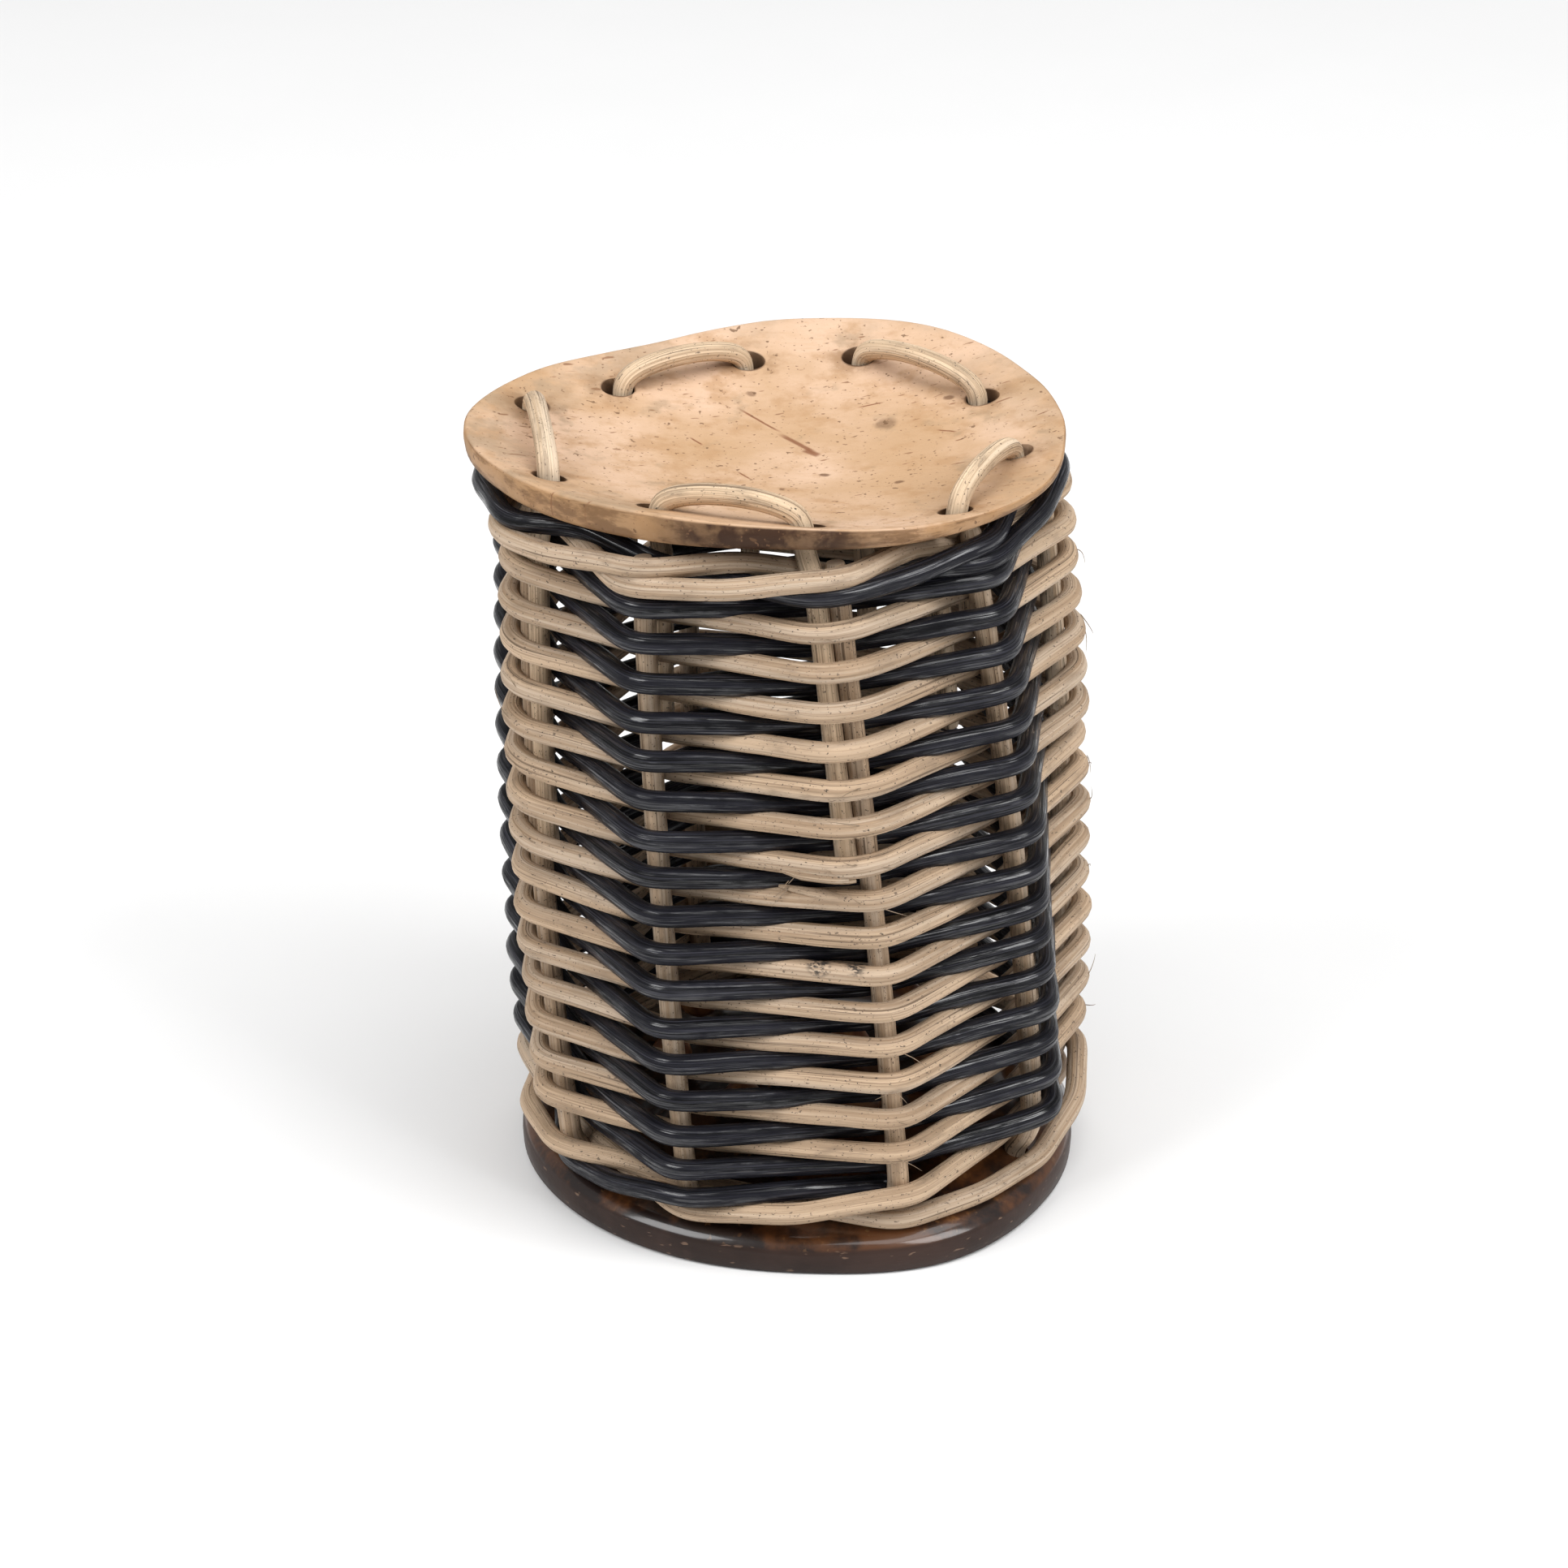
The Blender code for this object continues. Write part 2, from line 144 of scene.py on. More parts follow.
HEAD_HOLLOW = 5.9

# Palest, warmest and honey-brown tone of the undyed canes
BARE_TONES = ((0.52, 0.405, 0.30), (0.55, 0.40, 0.27), (0.38, 0.265, 0.17))
# Tones of the stitch canes: the undyed tones painted lighter, as painted light from above on the stitches
PAINTED_LIT_TONES = ((0.68, 0.55, 0.41), (0.70, 0.53, 0.36), (0.52, 0.38, 0.25))

# Heights of the two rows that meet at the splice
TORN_ROW = 63.0
TAIL_ROW = 57.8

# How finely a cane is drawn
SECTION_STEP = 0.9
SECTION_SIDES = 14
BEND_SOFTNESS = 1.7


# Finishes


class Wire:
    """A value in a material, on which arithmetic adds Math nodes."""

    def __init__(self, finish, output):
        self.finish = finish
        self.output = output

    def __add__(self, other):
        return self.finish.math("ADD", self, other)

    __radd__ = __add__

    def __mul__(self, other):
        return self.finish.math("MULTIPLY", self, other)

    __rmul__ = __mul__

    def __sub__(self, other):
        return self.finish.math("SUBTRACT", self, other)

    def __rsub__(self, other):
        return self.finish.math("SUBTRACT", other, self)

    def __pow__(self, other):
        return self.finish.math("POWER", self, other)


class Finish:
    """A material being built."""

    def __init__(self, name):
        self.material = bpy.data.materials.new(name)
        self.material.use_nodes = True
        self.tree = self.material.node_tree
        self.shader = self.tree.nodes["Principled BSDF"]

    def join(self, socket, value):
        if isinstance(value, Wire):
            self.tree.links.new(value.output, socket)
        elif isinstance(value, tuple) and len(value) == 3 and socket.type == "RGBA":
            socket.default_value = (*value, 1.0)
        else:
            socket.default_value = value

    def node(self, kind, settings, sockets, output=0):
        """Adds a node: its type, its settings, its sockets' values or wires, one output."""
        made = self.tree.nodes.new(kind)
        for key, value in settings.items():
            if key == "stops":
                self.set_stops(made.color_ramp, value)
            else:
                setattr(made, key, value)
        for key, value in sockets.items():
            self.join(made.inputs[key], value)
        return Wire(self, made.outputs[output])

    def set_stops(self, ramp, stops):
        while len(ramp.elements) < len(stops):
            ramp.elements.new(1.0)
        for element, (position, colour) in zip(ramp.elements, stops):
            element.position = position
            element.color = (*colour, 1.0)

    def math(self, operation, *values):
        return self.node("ShaderNodeMath", {"operation": operation}, dict(enumerate(values)))

    def limit(self, value, low, high):
        """0 below low, 1 above high, smooth between."""
        settings = {"interpolation_type": "SMOOTHSTEP"}
        return self.node("ShaderNodeMapRange", settings, {0: value, 1: low, 2: high})

    def blend(self, share, one, two):
        settings = {"data_type": "RGBA"}
        return self.node("ShaderNodeMix", settings, {0: share, 6: one, 7: two}, 2)

    def vector(self, x, y, z):
        return self.node("ShaderNodeCombineXYZ", {}, {0: x, 1: y, 2: z})

    def noise(self, vector, scale, detail=2.0, roughness=0.5):
        sockets = {"Vector": vector, "Scale": scale, "Detail": detail, "Roughness": roughness}
        return self.node("ShaderNodeTexNoise", {}, sockets)

    def parts(self, vector):
        return [
            self.node("ShaderNodeSeparateXYZ", {}, {0: vector}, axis) for axis in range(3)
        ]

    def place(self):
        return self.node("ShaderNodeTexCoord", {}, {}, "Object")

    def spread(self):
        return self.node("ShaderNodeTexCoord", {}, {}, "UV")

    def bump(self, height, distance, strength=1.0):
        sockets = {"Height": height, "Distance": distance, "Strength": strength}
        return self.node("ShaderNodeBump", {}, sockets)

    def end(self, **sockets):
        for name, value in sockets.items():
            self.join(self.shader.inputs[name.replace("_", " ")], value)
        return self.material


class Grain:
    """Noise laid along a cane, whose UVs are millimetres along it and turns round it."""

    def __init__(self, finish):
        self.finish = finish
        self.along, turn, _ = finish.parts(finish.spread())
        self.east = finish.math("COSINE", turn * math.tau)
        self.north = finish.math("SINE", turn * math.tau)

    def noise(self, along, round_it, detail=2.0, roughness=0.5):
        """Noise cells per millimetre along the cane, and per radius round it."""
        where = self.finish.vector(
            self.along * along, self.east * round_it, self.north * round_it
        )
        return self.finish.noise(where, 1.0, detail, roughness)


def natural_cane(name, palest, warmest, honey):
    finish = Finish(name)
    grain = Grain(finish)
    x, _, height = finish.parts(finish.place())
    tone = grain.noise(0.012, 0.5)
    broad = grain.noise(0.03, 2.0)
    strand = grain.noise(0.035, 6.0, 3.0, 0.7)
    groove = grain.noise(0.02, 4.4, 3.0, 0.62)
    patch = grain.noise(0.16, 0.8, 4.0, 0.6)
    speck = grain.noise(1.5, 3.3, 2.0)
    prick = grain.noise(2.6, 5.0, 1.0)
    pale = finish.blend(finish.limit(tone, 0.4, 0.6), palest, warmest)
    colour = finish.blend(finish.limit(broad, 0.34, 0.6), honey, pale)
    colour = finish.blend(finish.limit(strand, 0.5, 0.64) * 0.6, colour, (0.25, 0.165, 0.10))
    grime = finish.limit(patch, 0.5, 0.74) * 0.6
    colour = finish.blend(grime, colour, (0.24, 0.175, 0.12))
    dark_line = 1.0 - finish.limit(groove, 0.33, 0.42)
    colour = finish.blend(dark_line * 0.8, colour, (0.10, 0.065, 0.04))
    blotch = near(finish, x, height, 0.0048, 0.0473, 0.0021)
    blotch = blotch + near(finish, x, height, 0.0096, 0.0478, 0.0018)
    colour = finish.blend(blotch * finish.limit(speck + patch, 0.85, 1.05), colour, (0.05, 0.042, 0.036))
    colour = finish.blend(finish.limit(speck, 0.66, 0.72) * 0.75, colour, (0.085, 0.06, 0.045))
    colour = finish.blend(finish.limit(prick, 0.68, 0.73) * 0.85, colour, (0.035, 0.027, 0.022))
    relief = groove * 0.55 + strand * 0.4 + broad * 0.4
    return finish.end(
        Base_Color=colour,
        Roughness=0.48 + patch * 0.25,
        Specular_IOR_Level=0.25,
        Normal=finish.bump(relief, 0.00035, 0.9),
    )


def black_cane():
    finish = Finish("black_cane_dyed")
    grain = Grain(finish)
    broad = grain.noise(0.025, 1.6)
    strand = grain.noise(0.04, 6.5, 3.0, 0.7)
    groove = grain.noise(0.03, 4.5, 3.0, 0.65)
    patch = grain.noise(0.2, 1.2, 4.0, 0.65)
    gleam = grain.noise(0.11, 10.0, 3.0, 0.7)
    depth = finish.limit(broad, 0.35, 0.66)
    colour = finish.blend(depth, (0.002, 0.002, 0.003), (0.009, 0.009, 0.0135))
    colour = finish.blend(finish.limit(strand, 0.52, 0.64) * 0.75, colour, (0.04, 0.04, 0.052))
    rubbed = finish.limit(groove, 0.57, 0.67) * finish.limit(patch, 0.5, 0.64)
    colour = finish.blend(rubbed * 0.5, colour, (0.12, 0.12, 0.135))
    streak = finish.limit(gleam, 0.46, 0.58) * finish.limit(patch, 0.34, 0.56)
    relief = groove * 0.6 + strand * 0.4 + patch * 0.1
    return finish.end(
        Base_Color=colour,
        Roughness=0.30 + patch * 0.25,
        Specular_IOR_Level=0.09,
        Coat_Weight=0.03 + streak * 0.97,
        Coat_Roughness=0.17,
        Coat_IOR=1.6,
        Normal=finish.bump(relief, 0.00045, 1.0),
    )


def near(finish, x, y, mid_x, mid_y, reach):
    """1 at a place seen from above and 0 farther away than reach, all in metres."""
    east = x - mid_x
    north = y - mid_y
    away = (east * east + north * north) ** 0.5
    return 1.0 - finish.limit(away, 0.4 * reach, reach)


def scratch(finish, x, y, start, end, width):
    """1 on a thin line between two places, thickest in its middle, all in metres."""
    east, north = end[0] - start[0], end[1] - start[1]
    length = math.hypot(east, north)
    east, north = east / length, north / length
    along = (x - start[0]) * east + (y - start[1]) * north
    across = finish.math("ABSOLUTE", (y - start[1]) * east - (x - start[0]) * north)
    within = finish.limit(along, 0.0, 0.3 * length) * (
        1.0 - finish.limit(along, 0.75 * length, length)
    )
    return within * (1.0 - finish.limit(across, 0.3 * width, width))


def gourd_flesh():
    finish = Finish("gourd_flesh")
    where = finish.place()
    x, y, _ = finish.parts(where)
    share, depth, _ = finish.parts(finish.spread())
    cloud = finish.noise(where, 42.0, 5.0, 0.55)
    mottle = finish.noise(where, 190.0, 5.0, 0.62)
    grit = finish.noise(where, 1500.0, 3.0, 0.6)
    speck = finish.noise(where, 880.0, 2.0)
    prick = finish.noise(where, 1700.0, 1.0)
    brushed = finish.noise(finish.vector(x * 160.0, y * 1400.0, depth), 1.0, 3.0, 0.6)
    nick = finish.noise(finish.vector(x * 210.0 + y * 160.0, y * 900.0 - x * 300.0, 0.0), 1.0, 2.0)
    colour = finish.blend(
        finish.limit(cloud, 0.36, 0.64), (0.47, 0.30, 0.172), (0.60, 0.415, 0.288)
    )
    colour = finish.blend(finish.limit(mottle, 0.48, 0.68) * 0.6, colour, (0.39, 0.225, 0.11))
    colour = finish.blend(finish.limit(brushed, 0.5, 0.75) * 0.25, colour, (0.45, 0.28, 0.15))
    colour = finish.blend(finish.limit(grit, 0.55, 0.75) * 0.25, colour, (0.40, 0.24, 0.12))
    outer = finish.limit(share, 0.6, 1.0) * (0.45 + finish.limit(0.0 - x, 0.0, 0.03) * 0.55)
    mould = finish.limit(finish.noise(where, 75.0, 5.0, 0.65), 0.46, 0.6)
    colour = finish.blend(mould * outer * 0.5, colour, (0.27, 0.21, 0.145))
    stray = finish.limit(finish.noise(where, 130.0, 4.0, 0.6), 0.58, 0.7)
    colour = finish.blend(stray * 0.45, colour, (0.25, 0.18, 0.11))
    round_holes = 0.0
    painted_hole_shade = 0.0
    for low, high in hole_lines():
        middle = low.lerp(high, 0.6) * MM
        round_holes = near(finish, x, y, middle.x, middle.y, 0.0058) + round_holes
        painted_hole_shade = near(finish, x, y, middle.x, middle.y, 0.0033) + painted_hole_shade
    # Mottled, browner round each stitch hole
    colour = finish.blend(round_holes * finish.limit(mottle, 0.38, 0.6) * 0.55, colour, (0.22, 0.12, 0.055))
    # Painted shade: the mouth and walls of each stitch hole are painted nearly black
    colour = finish.blend(finish.limit(painted_hole_shade, 0.3, 0.6) * 0.85, colour, (0.06, 0.028, 0.013))
    for mid_x, mid_y, reach, dark in (
        (0.0056, -0.0034, 0.0008, 0.8),
        (0.0138, 0.0116, 0.0021, 0.5),
        (0.0152, -0.0075, 0.0009, 0.75),
        (0.0223, 0.0170, 0.0009, 0.7),
        (0.0003, -0.0091, 0.0007, 0.6),
        (-0.0042, 0.0209, 0.0009, 0.6),
    ):
        wobble = (mottle - 0.5) * 0.0022
        knot = near(finish, x + wobble, y - wobble, mid_x, mid_y, reach)
        colour = finish.blend(knot * dark, colour, (0.12, 0.055, 0.025))
    bend = (cloud - 0.5) * 0.003
    for start, end, width in (
        ((-0.0064, 0.0175), (0.0002, 0.0098), 0.00028),
        ((-0.0008, 0.0102), (0.0048, 0.0036), 0.00055),
        ((0.0026, 0.0052), (0.0052, 0.0030), 0.0008),
        ((0.0100, 0.0166), (0.0140, 0.0176), 0.00025),
        ((-0.0125, 0.0080), (-0.0105, 0.0052), 0.00025),
        ((-0.0060, -0.0020), (-0.0040, -0.0052), 0.00022),
        ((0.0205, 0.0075), (0.0235, 0.0062), 0.00025),
    ):
        line = scratch(finish, x, y + bend, start, end, width)
        colour = finish.blend(line * 0.85, colour, (0.19, 0.07, 0.03))
    rim = finish.limit(depth, 0.05, 0.35)
    colour = finish.blend(rim * 0.6, colour, (0.32, 0.165, 0.06))
    streaked = finish.noise(finish.vector(x * 110.0, y * 110.0, depth * 2.5), 1.0, 5.0, 0.68)
    stain = rim * finish.limit(streaked, 0.44, 0.6)
    colour = finish.blend(stain * 0.75, colour, (0.14, 0.07, 0.03))
    front = near(finish, x, y, -0.0022, -0.037, 0.019) * rim
    blot = front * (0.7 + finish.limit(finish.noise(where, 230.0, 4.0, 0.6), 0.42, 0.58) * 0.3)
    colour = finish.blend(blot * 0.97, colour, (0.032, 0.012, 0.005))
    colour = finish.blend(finish.limit(nick, 0.675, 0.72) * 0.75, colour, (0.20, 0.09, 0.04))
    colour = finish.blend(finish.limit(speck, 0.68, 0.725) * 0.75, colour, (0.12, 0.06, 0.028))
    colour = finish.blend(finish.limit(prick, 0.69, 0.735) * 0.7, colour, (0.16, 0.08, 0.04))
    relief = cloud * 0.8 + mottle * 0.45 + brushed * 0.12 + grit * 0.06 - speck * 0.1
    return finish.end(
        Base_Color=colour,
        Roughness=0.45 + mottle * 0.22,
        Specular_IOR_Level=0.22,
        Normal=finish.bump(relief, 0.0007, 0.55),
    )


def coconut_shell():
    finish = Finish("coconut_shell_oiled")
    where = finish.place()
    x, y, height = finish.parts(where)
    _, depth, _ = finish.parts(finish.spread())
    cloud = finish.noise(where, 70.0, 4.0, 0.6)
    patch = finish.noise(where, 210.0, 4.0, 0.65)
    fibre = finish.noise(finish.vector(x * 900.0, y * 900.0, height * 130.0), 1.0, 2.0)
    fleck = finish.noise(finish.vector(x * 420.0, y * 420.0, height * 1500.0), 1.0, 2.0)
    dome = finish.blend(
        finish.limit(cloud + patch * 0.4, 0.66, 0.82), (0.012, 0.005, 0.0035), (0.085, 0.03, 0.009)
    )
    dome = finish.blend(finish.limit(patch, 0.6, 0.72) * 0.5, dome, (0.20, 0.085, 0.025))
    dome = finish.blend(finish.limit(fibre, 0.66, 0.74) * 0.5, dome, (0.16, 0.08, 0.03))
    rim = finish.limit(depth, 0.2, 0.5)
    cloudy = finish.limit(cloud, 0.35, 0.65)
    face = finish.blend(cloudy, (0.020, 0.0095, 0.0065), (0.038, 0.019, 0.0135))
    face = finish.blend(finish.limit(patch, 0.55, 0.75) * 0.5, face, (0.055, 0.03, 0.022))
    face = finish.blend(finish.limit(fleck, 0.66, 0.73) * 0.6, face, (0.22, 0.135, 0.09))
    return finish.end(
        Base_Color=finish.blend(rim, dome, face),
        Roughness=0.3 + rim * 0.2 + patch * 0.1,
        Specular_IOR_Level=0.22,
        Coat_Weight=0.85 - rim * 0.7,
        Coat_Roughness=0.12,
        Normal=finish.bump(fleck * 0.25 + cloud + patch * 0.3, 0.0006, 0.35),
    )


def seed_coat():
    finish = Finish("seed_coat_glossy")
    where = finish.place()
    cloud = finish.noise(where, 300.0, 3.0)
    fine = finish.noise(where, 1400.0, 2.0)
    colour = finish.blend(finish.limit(cloud, 0.35, 0.65), (0.16, 0.055, 0.02), (0.34, 0.15, 0.055))
    colour = finish.blend(finish.limit(fine, 0.6, 0.7) * 0.4, colour, (0.07, 0.025, 0.01))
    return finish.end(
        Base_Color=colour,
        Roughness=0.3 + cloud * 0.2,
        Normal=finish.bump(cloud + fine * 0.3, 0.0003, 0.3),
    )


# Wall geometry


def smooth_step(value):
    share = min(max(value, 0.0), 1.0)
    return share * share * (3.0 - 2.0 * share)


def stake_angle(index, height):
    turn, stake = divmod(index, STAKES)
    share = height / STAKE_TOP
    degrees = FOOT_ANGLES[stake] * (1.0 - share) + HEAD_ANGLES[stake] * share
    return math.radians(degrees + 360.0 * turn)


def wall_radius(height):
    wall = BELLY_RADIUS - BELLY_CURVE * (height - BELLY_HEIGHT) ** 2
    drawn_in = 1.0 - smooth_step((height - 6.0) / 5.0)
    return wall + (FOOT_HOLE_RING - wall) * drawn_in


def place(across, ahead, height):
    tilt = LEAN * smooth_step(height / TILT_HEIGHT)
    x = CENTRE_X + across - LEAN * height
    return Vector((x, CENTRE_Y - ahead, height + tilt * across))


def beside(angle, radius, sideways, height):
    across = radius * math.sin(angle) + sideways * math.cos(angle)
    ahead = radius * math.cos(angle) - sideways * math.sin(angle)
    return place(across, ahead, height)


def at_stake(index, outwards, sideways, height):
    angle = stake_angle(index, height)
    return beside(angle, wall_radius(height) + outwards, sideways, height)


def between_stakes(index, outwards, height):
    angle = (stake_angle(index, height) + stake_angle(index + 1, height)) / 2.0
    return beside(angle, wall_radius(height) + outwards, 0.0, height)


def leg_width(index, side, height):
    for _, *ends in STITCHES:
        for _, _, stake, leg_side, low in ends:
            if (stake - index) % STAKES == 0 and leg_side == side and height > low - GRIP:
                return PAIR
    return 0.0


def wrap(index, outside, height, bulge=0.0):
    """Points of a cane bent round a stake, in the order of rising angles."""
    left = -leg_width(index, -1, height)
    right = leg_width(index, 1, height)
    turn = math.radians(38.0 if outside else 12.0)
    sign = 1.0 if outside else -1.0
    points = []
    for centre, angle in ((left, -turn), (left, -turn / 2), (right, turn / 2), (right, turn)):
        sideways = centre + GRIP * math.sin(angle)
        outwards = sign * GRIP * math.cos(angle) + bulge
        points.append(at_stake(index, outwards, sideways, height))
    return points


# Meshes


def even_line(points, step):
    """The same line, with points that are step apart."""
    line = np.array([tuple(point) for point in points])
    lengths = np.linalg.norm(np.diff(line, axis=0), axis=1)
    run = np.concatenate([[0.0], np.cumsum(lengths)])
    count = max(int(run[-1] / step), 2)
    at = np.linspace(0.0, run[-1], count + 1)
    return np.stack([np.interp(at, run, line[:, axis]) for axis in range(3)], 1)


def soft_line(points, softness, step=0.3):
    """A line with its corners eased, as stiff cane bends. Its ends stay where they are."""
    line = even_line(points, step)
    reach = int(3 * softness / step) + 1
    before = 2 * line[0] - line[1 : reach + 1][::-1]
    after = 2 * line[-1] - line[-reach - 1 : -1][::-1]
    padded = np.concatenate([before, line, after])
    offsets = np.arange(-reach, reach + 1) * step
    weights = np.exp(-0.5 * (offsets / softness) ** 2)
    weights /= weights.sum()
    return np.stack([np.convolve(padded[:, axis], weights, "valid") for axis in range(3)], 1)


def wandering(count, step, rng, wave):
    """Slow random values from about -1 to 1 along a cane."""
    at = np.arange(count) * step
    total = np.zeros(count)
    for share in (1.0, 0.53, 0.31):
        total += share * np.sin(math.tau * at / (wave * share) + rng.uniform(0, math.tau))
    return total / 1.84


def fullness(line):
    """How much thicker the canes are low down at the back, where they close the wall."""
    behind = np.clip((line[:, 1] - CENTRE_Y) / 20.0, 0.0, 1.0)
    low = np.clip((40.0 - line[:, 2]) / 20.0, 0.0, 1.0)
    return 1.0 + 0.2 * behind * low


def cane_mesh(name, line, thickness, rng, taper=(0.0, 0.0)):
    """A cane swept along a line. Its UVs are millimetres along it and turns round it."""
    count = len(line)
    ahead = np.gradient(line, axis=0)
    ahead /= np.linalg.norm(ahead, axis=1)[:, None]
    side = np.cross(ahead, (0.0, 0.0, 1.0))
    flat = np.linalg.norm(side, axis=1)
    if flat.min() < 0.2:
        side = carried_sides(ahead)
    else:
        side /= flat[:, None]
    up = np.cross(side, ahead)
    step = np.linalg.norm(line[1] - line[0])
    radius = thickness / 2.0 * (1.0 + 0.035 * wandering(count, step, rng, 31.0))
    radius *= taper_profile(count, step, thickness, taper)
    turns = np.arange(SECTION_SIDES) / SECTION_SIDES
    spin = 0.8 * wandering(count, step, rng, 90.0) + rng.uniform(0, math.tau)
    angles = turns[None, :] * math.tau
    shape = 1.0 + 0.028 * np.sin(2 * angles + spin[:, None]) + 0.018 * np.sin(
        3 * angles + 2.3 * spin[:, None]
    )
    reach = radius[:, None] * shape
    rings = line[:, None, :] + reach[..., None] * (
        np.cos(angles)[..., None] * side[:, None, :] + np.sin(angles)[..., None] * up[:, None, :]
    )
    return tube_object(name, rings, step, rng.uniform(0, 500.0))


def carried_sides(ahead):
    """Side directions carried along a line that also runs upright."""
    sides = np.zeros_like(ahead)
    side = np.cross(ahead[0], (0.0, 0.0, 1.0) if abs(ahead[0][2]) < 0.9 else (1.0, 0.0, 0.0))
    for index, direction in enumerate(ahead):
        side = side - direction * side.dot(direction)
        side /= np.linalg.norm(side)
        sides[index] = side
    return sides


def taper_profile(count, step, thickness, taper):
    """Slightly rounded ends, or a long slant where a taper length is given."""
    from_start = np.arange(count) * step
    from_end = from_start[::-1]
    profile = np.ones(count)
    for distance, length in ((from_start, taper[0]), (from_end, taper[1])):
        reach = max(length, 0.35 * np.mean(thickness))
        low = 0.25 if length else 0.8
        profile = np.minimum(profile, low + (1 - low) * np.clip(distance / reach, 0, 1) ** 0.6)
    return profile


def tube_object(name, rings, step, start):
    count, sides, _ = rings.shape
    mesh = bpy.data.meshes.new(name)
    verts = rings.reshape(-1, 3)
    index = np.arange(count * sides).reshape(count, sides)
    after = np.roll(index, -1, axis=1)
    quads = np.stack([index[:-1], after[:-1], after[1:], index[1:]], -1).reshape(-1, 4)
    faces = [tuple(int(i) for i in quad) for quad in quads]
    faces.append(tuple(int(i) for i in index[0][::-1]))
    faces.append(tuple(int(i) for i in index[-1]))
    mesh.from_pydata((verts * MM).tolist(), [], faces)
    layer = mesh.uv_layers.new(name="UVMap")
    along = start + np.arange(count) * step
    uv = np.zeros((len(mesh.loops), 2))
    ring_of = np.repeat(np.arange(count - 1), sides)
    turn_of = np.tile(np.arange(sides), count - 1) / sides
    corner = np.zeros((len(ring_of), 4, 2))
    corner[:, 0] = np.stack([along[ring_of], turn_of], 1)
    corner[:, 1] = np.stack([along[ring_of], turn_of + 1 / sides], 1)
    corner[:, 2] = np.stack([along[ring_of + 1], turn_of + 1 / sides], 1)
    corner[:, 3] = np.stack([along[ring_of + 1], turn_of], 1)
    uv[: corner.shape[0] * 4] = corner.reshape(-1, 2)
    layer.data.foreach_set("uv", uv.ravel().astype(np.float32))
    mesh.shade_smooth()
    mesh.set_sharp_from_angle(angle=math.radians(55.0))
    obj = bpy.data.objects.new(name, mesh)
    bpy.context.scene.collection.objects.link(obj)
    return obj


def dress(obj, finish, slot, *nodes):
    """Gives a piece its finish, and lets it ride in place of its CAD nodes."""
    obj.data.materials.clear()
    obj.data.materials.append(finish)
    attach(obj, BODY)
    if nodes:
        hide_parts(*nodes)


def outward(points, middle_x=WALL_MIDDLE_X):
    """Level directions away from the wall's middle."""
    away = points * (1.0, 1.0, 0.0) - (middle_x, CENTRE_Y, 0.0)
    return away / np.linalg.norm(away, axis=1)[:, None]


def wavering(line, rng, across, height):
    """The line moved about a little, outwards and in height, as hand weaving does."""
    count = len(line)
    out = outward(line, WAVER_MIDDLE_X)
    moved = line + out * (across * wandering(count, SECTION_STEP, rng, 70.0))[:, None]
    moved[:, 2] += height * wandering(count, SECTION_STEP, rng, 55.0)
    return moved


# Pieces of the wall


def weaver(colour, cuts, first_row, outside_even, finish):
    rng = np.random.default_rng(21 if outside_even else 8)
    lines = []
    for number, (start, stop) in enumerate(zip(cuts, cuts[1:]), 1):
        points = []
        for index in range(start, stop - 1, -1):
            outside = (index % 2 == 0) == outside_even
            height = first_row + PITCH * (2 - index) / STAKES
            behind = smooth_step(-2.0 * math.cos(stake_angle(index, height)))
            loose = smooth_step((height - PACKED_BELOW) / (LOOSE_ABOVE - PACKED_BELOW))
            packed = 1.15 - 1.2 * loose
            swing = SWING + BACK_SWING * behind * packed
            height += swing if outside else -swing
            height = min(max(height, LOWEST_ROW), HIGHEST_ROW)
            points.extend(reversed(wrap(index, outside, height)))
        line = even_line(soft_line(points, BEND_SOFTNESS), SECTION_STEP)
        line = wavering(line, rng, 0.22, 0.22)
        thick = WEAVER_THICK * fullness(line)
        piece = cane_mesh(f"{colour}_weaver_length_{number}", line, thick, rng)
        dress(piece, finish, f"{colour}_cane", f"weaver_{colour}_{number}")
        lines.append(line)
    return lines


def wale_stroke(index, stakes, wale_shape):
    """A stroke: from inside the stake before, outside some stakes, to inside the next."""

    def level(name, place_in):
        low, high = math.floor(place_in), math.ceil(place_in)
        turn = (stake_angle(low, 0.0) + stake_angle(high, 0.0)) / 2.0
        behind = smooth_step(-2.0 * math.cos(turn))
        lowered = wale_shape["sag"] * math.sin(turn) + wale_shape["drop_behind"] * behind
        return wale_shape[name] - lowered

    def swell(stake):
        return wale_shape["swell"] * max(-math.sin(stake_angle(stake, 0.0)), 0.0)

    last = index + stakes - 1
    long = 1.0 if stakes > 2 else 0.0
    drop = long * LONG_STROKE_DROP
    points = [at_stake(index - 1, -GRIP, 0.0, level("inside", index - 1))]
    points.append(between_stakes(index - 1, WALE_CROSS, level("under", index - 0.5)))
    for passed in range(index, last):
        here = level("first", passed) - drop
        after = level("second", last) if passed + 1 == last else here
        bulge = long * LONG_STROKE_BULGE + swell(passed)
        points.extend(wrap(passed, True, here, bulge))
        points.append(between_stakes(passed, WALE_BOW + bulge, (here + after) / 2.0))
    points.extend(wrap(last, True, level("second", last), swell(last)))
    points.append(between_stakes(last, WALE_CROSS, level("over", last + 0.5)))
    points.append(at_stake(last + 1, -GRIP, 0.0, level("inside", last + 1)))
    return points


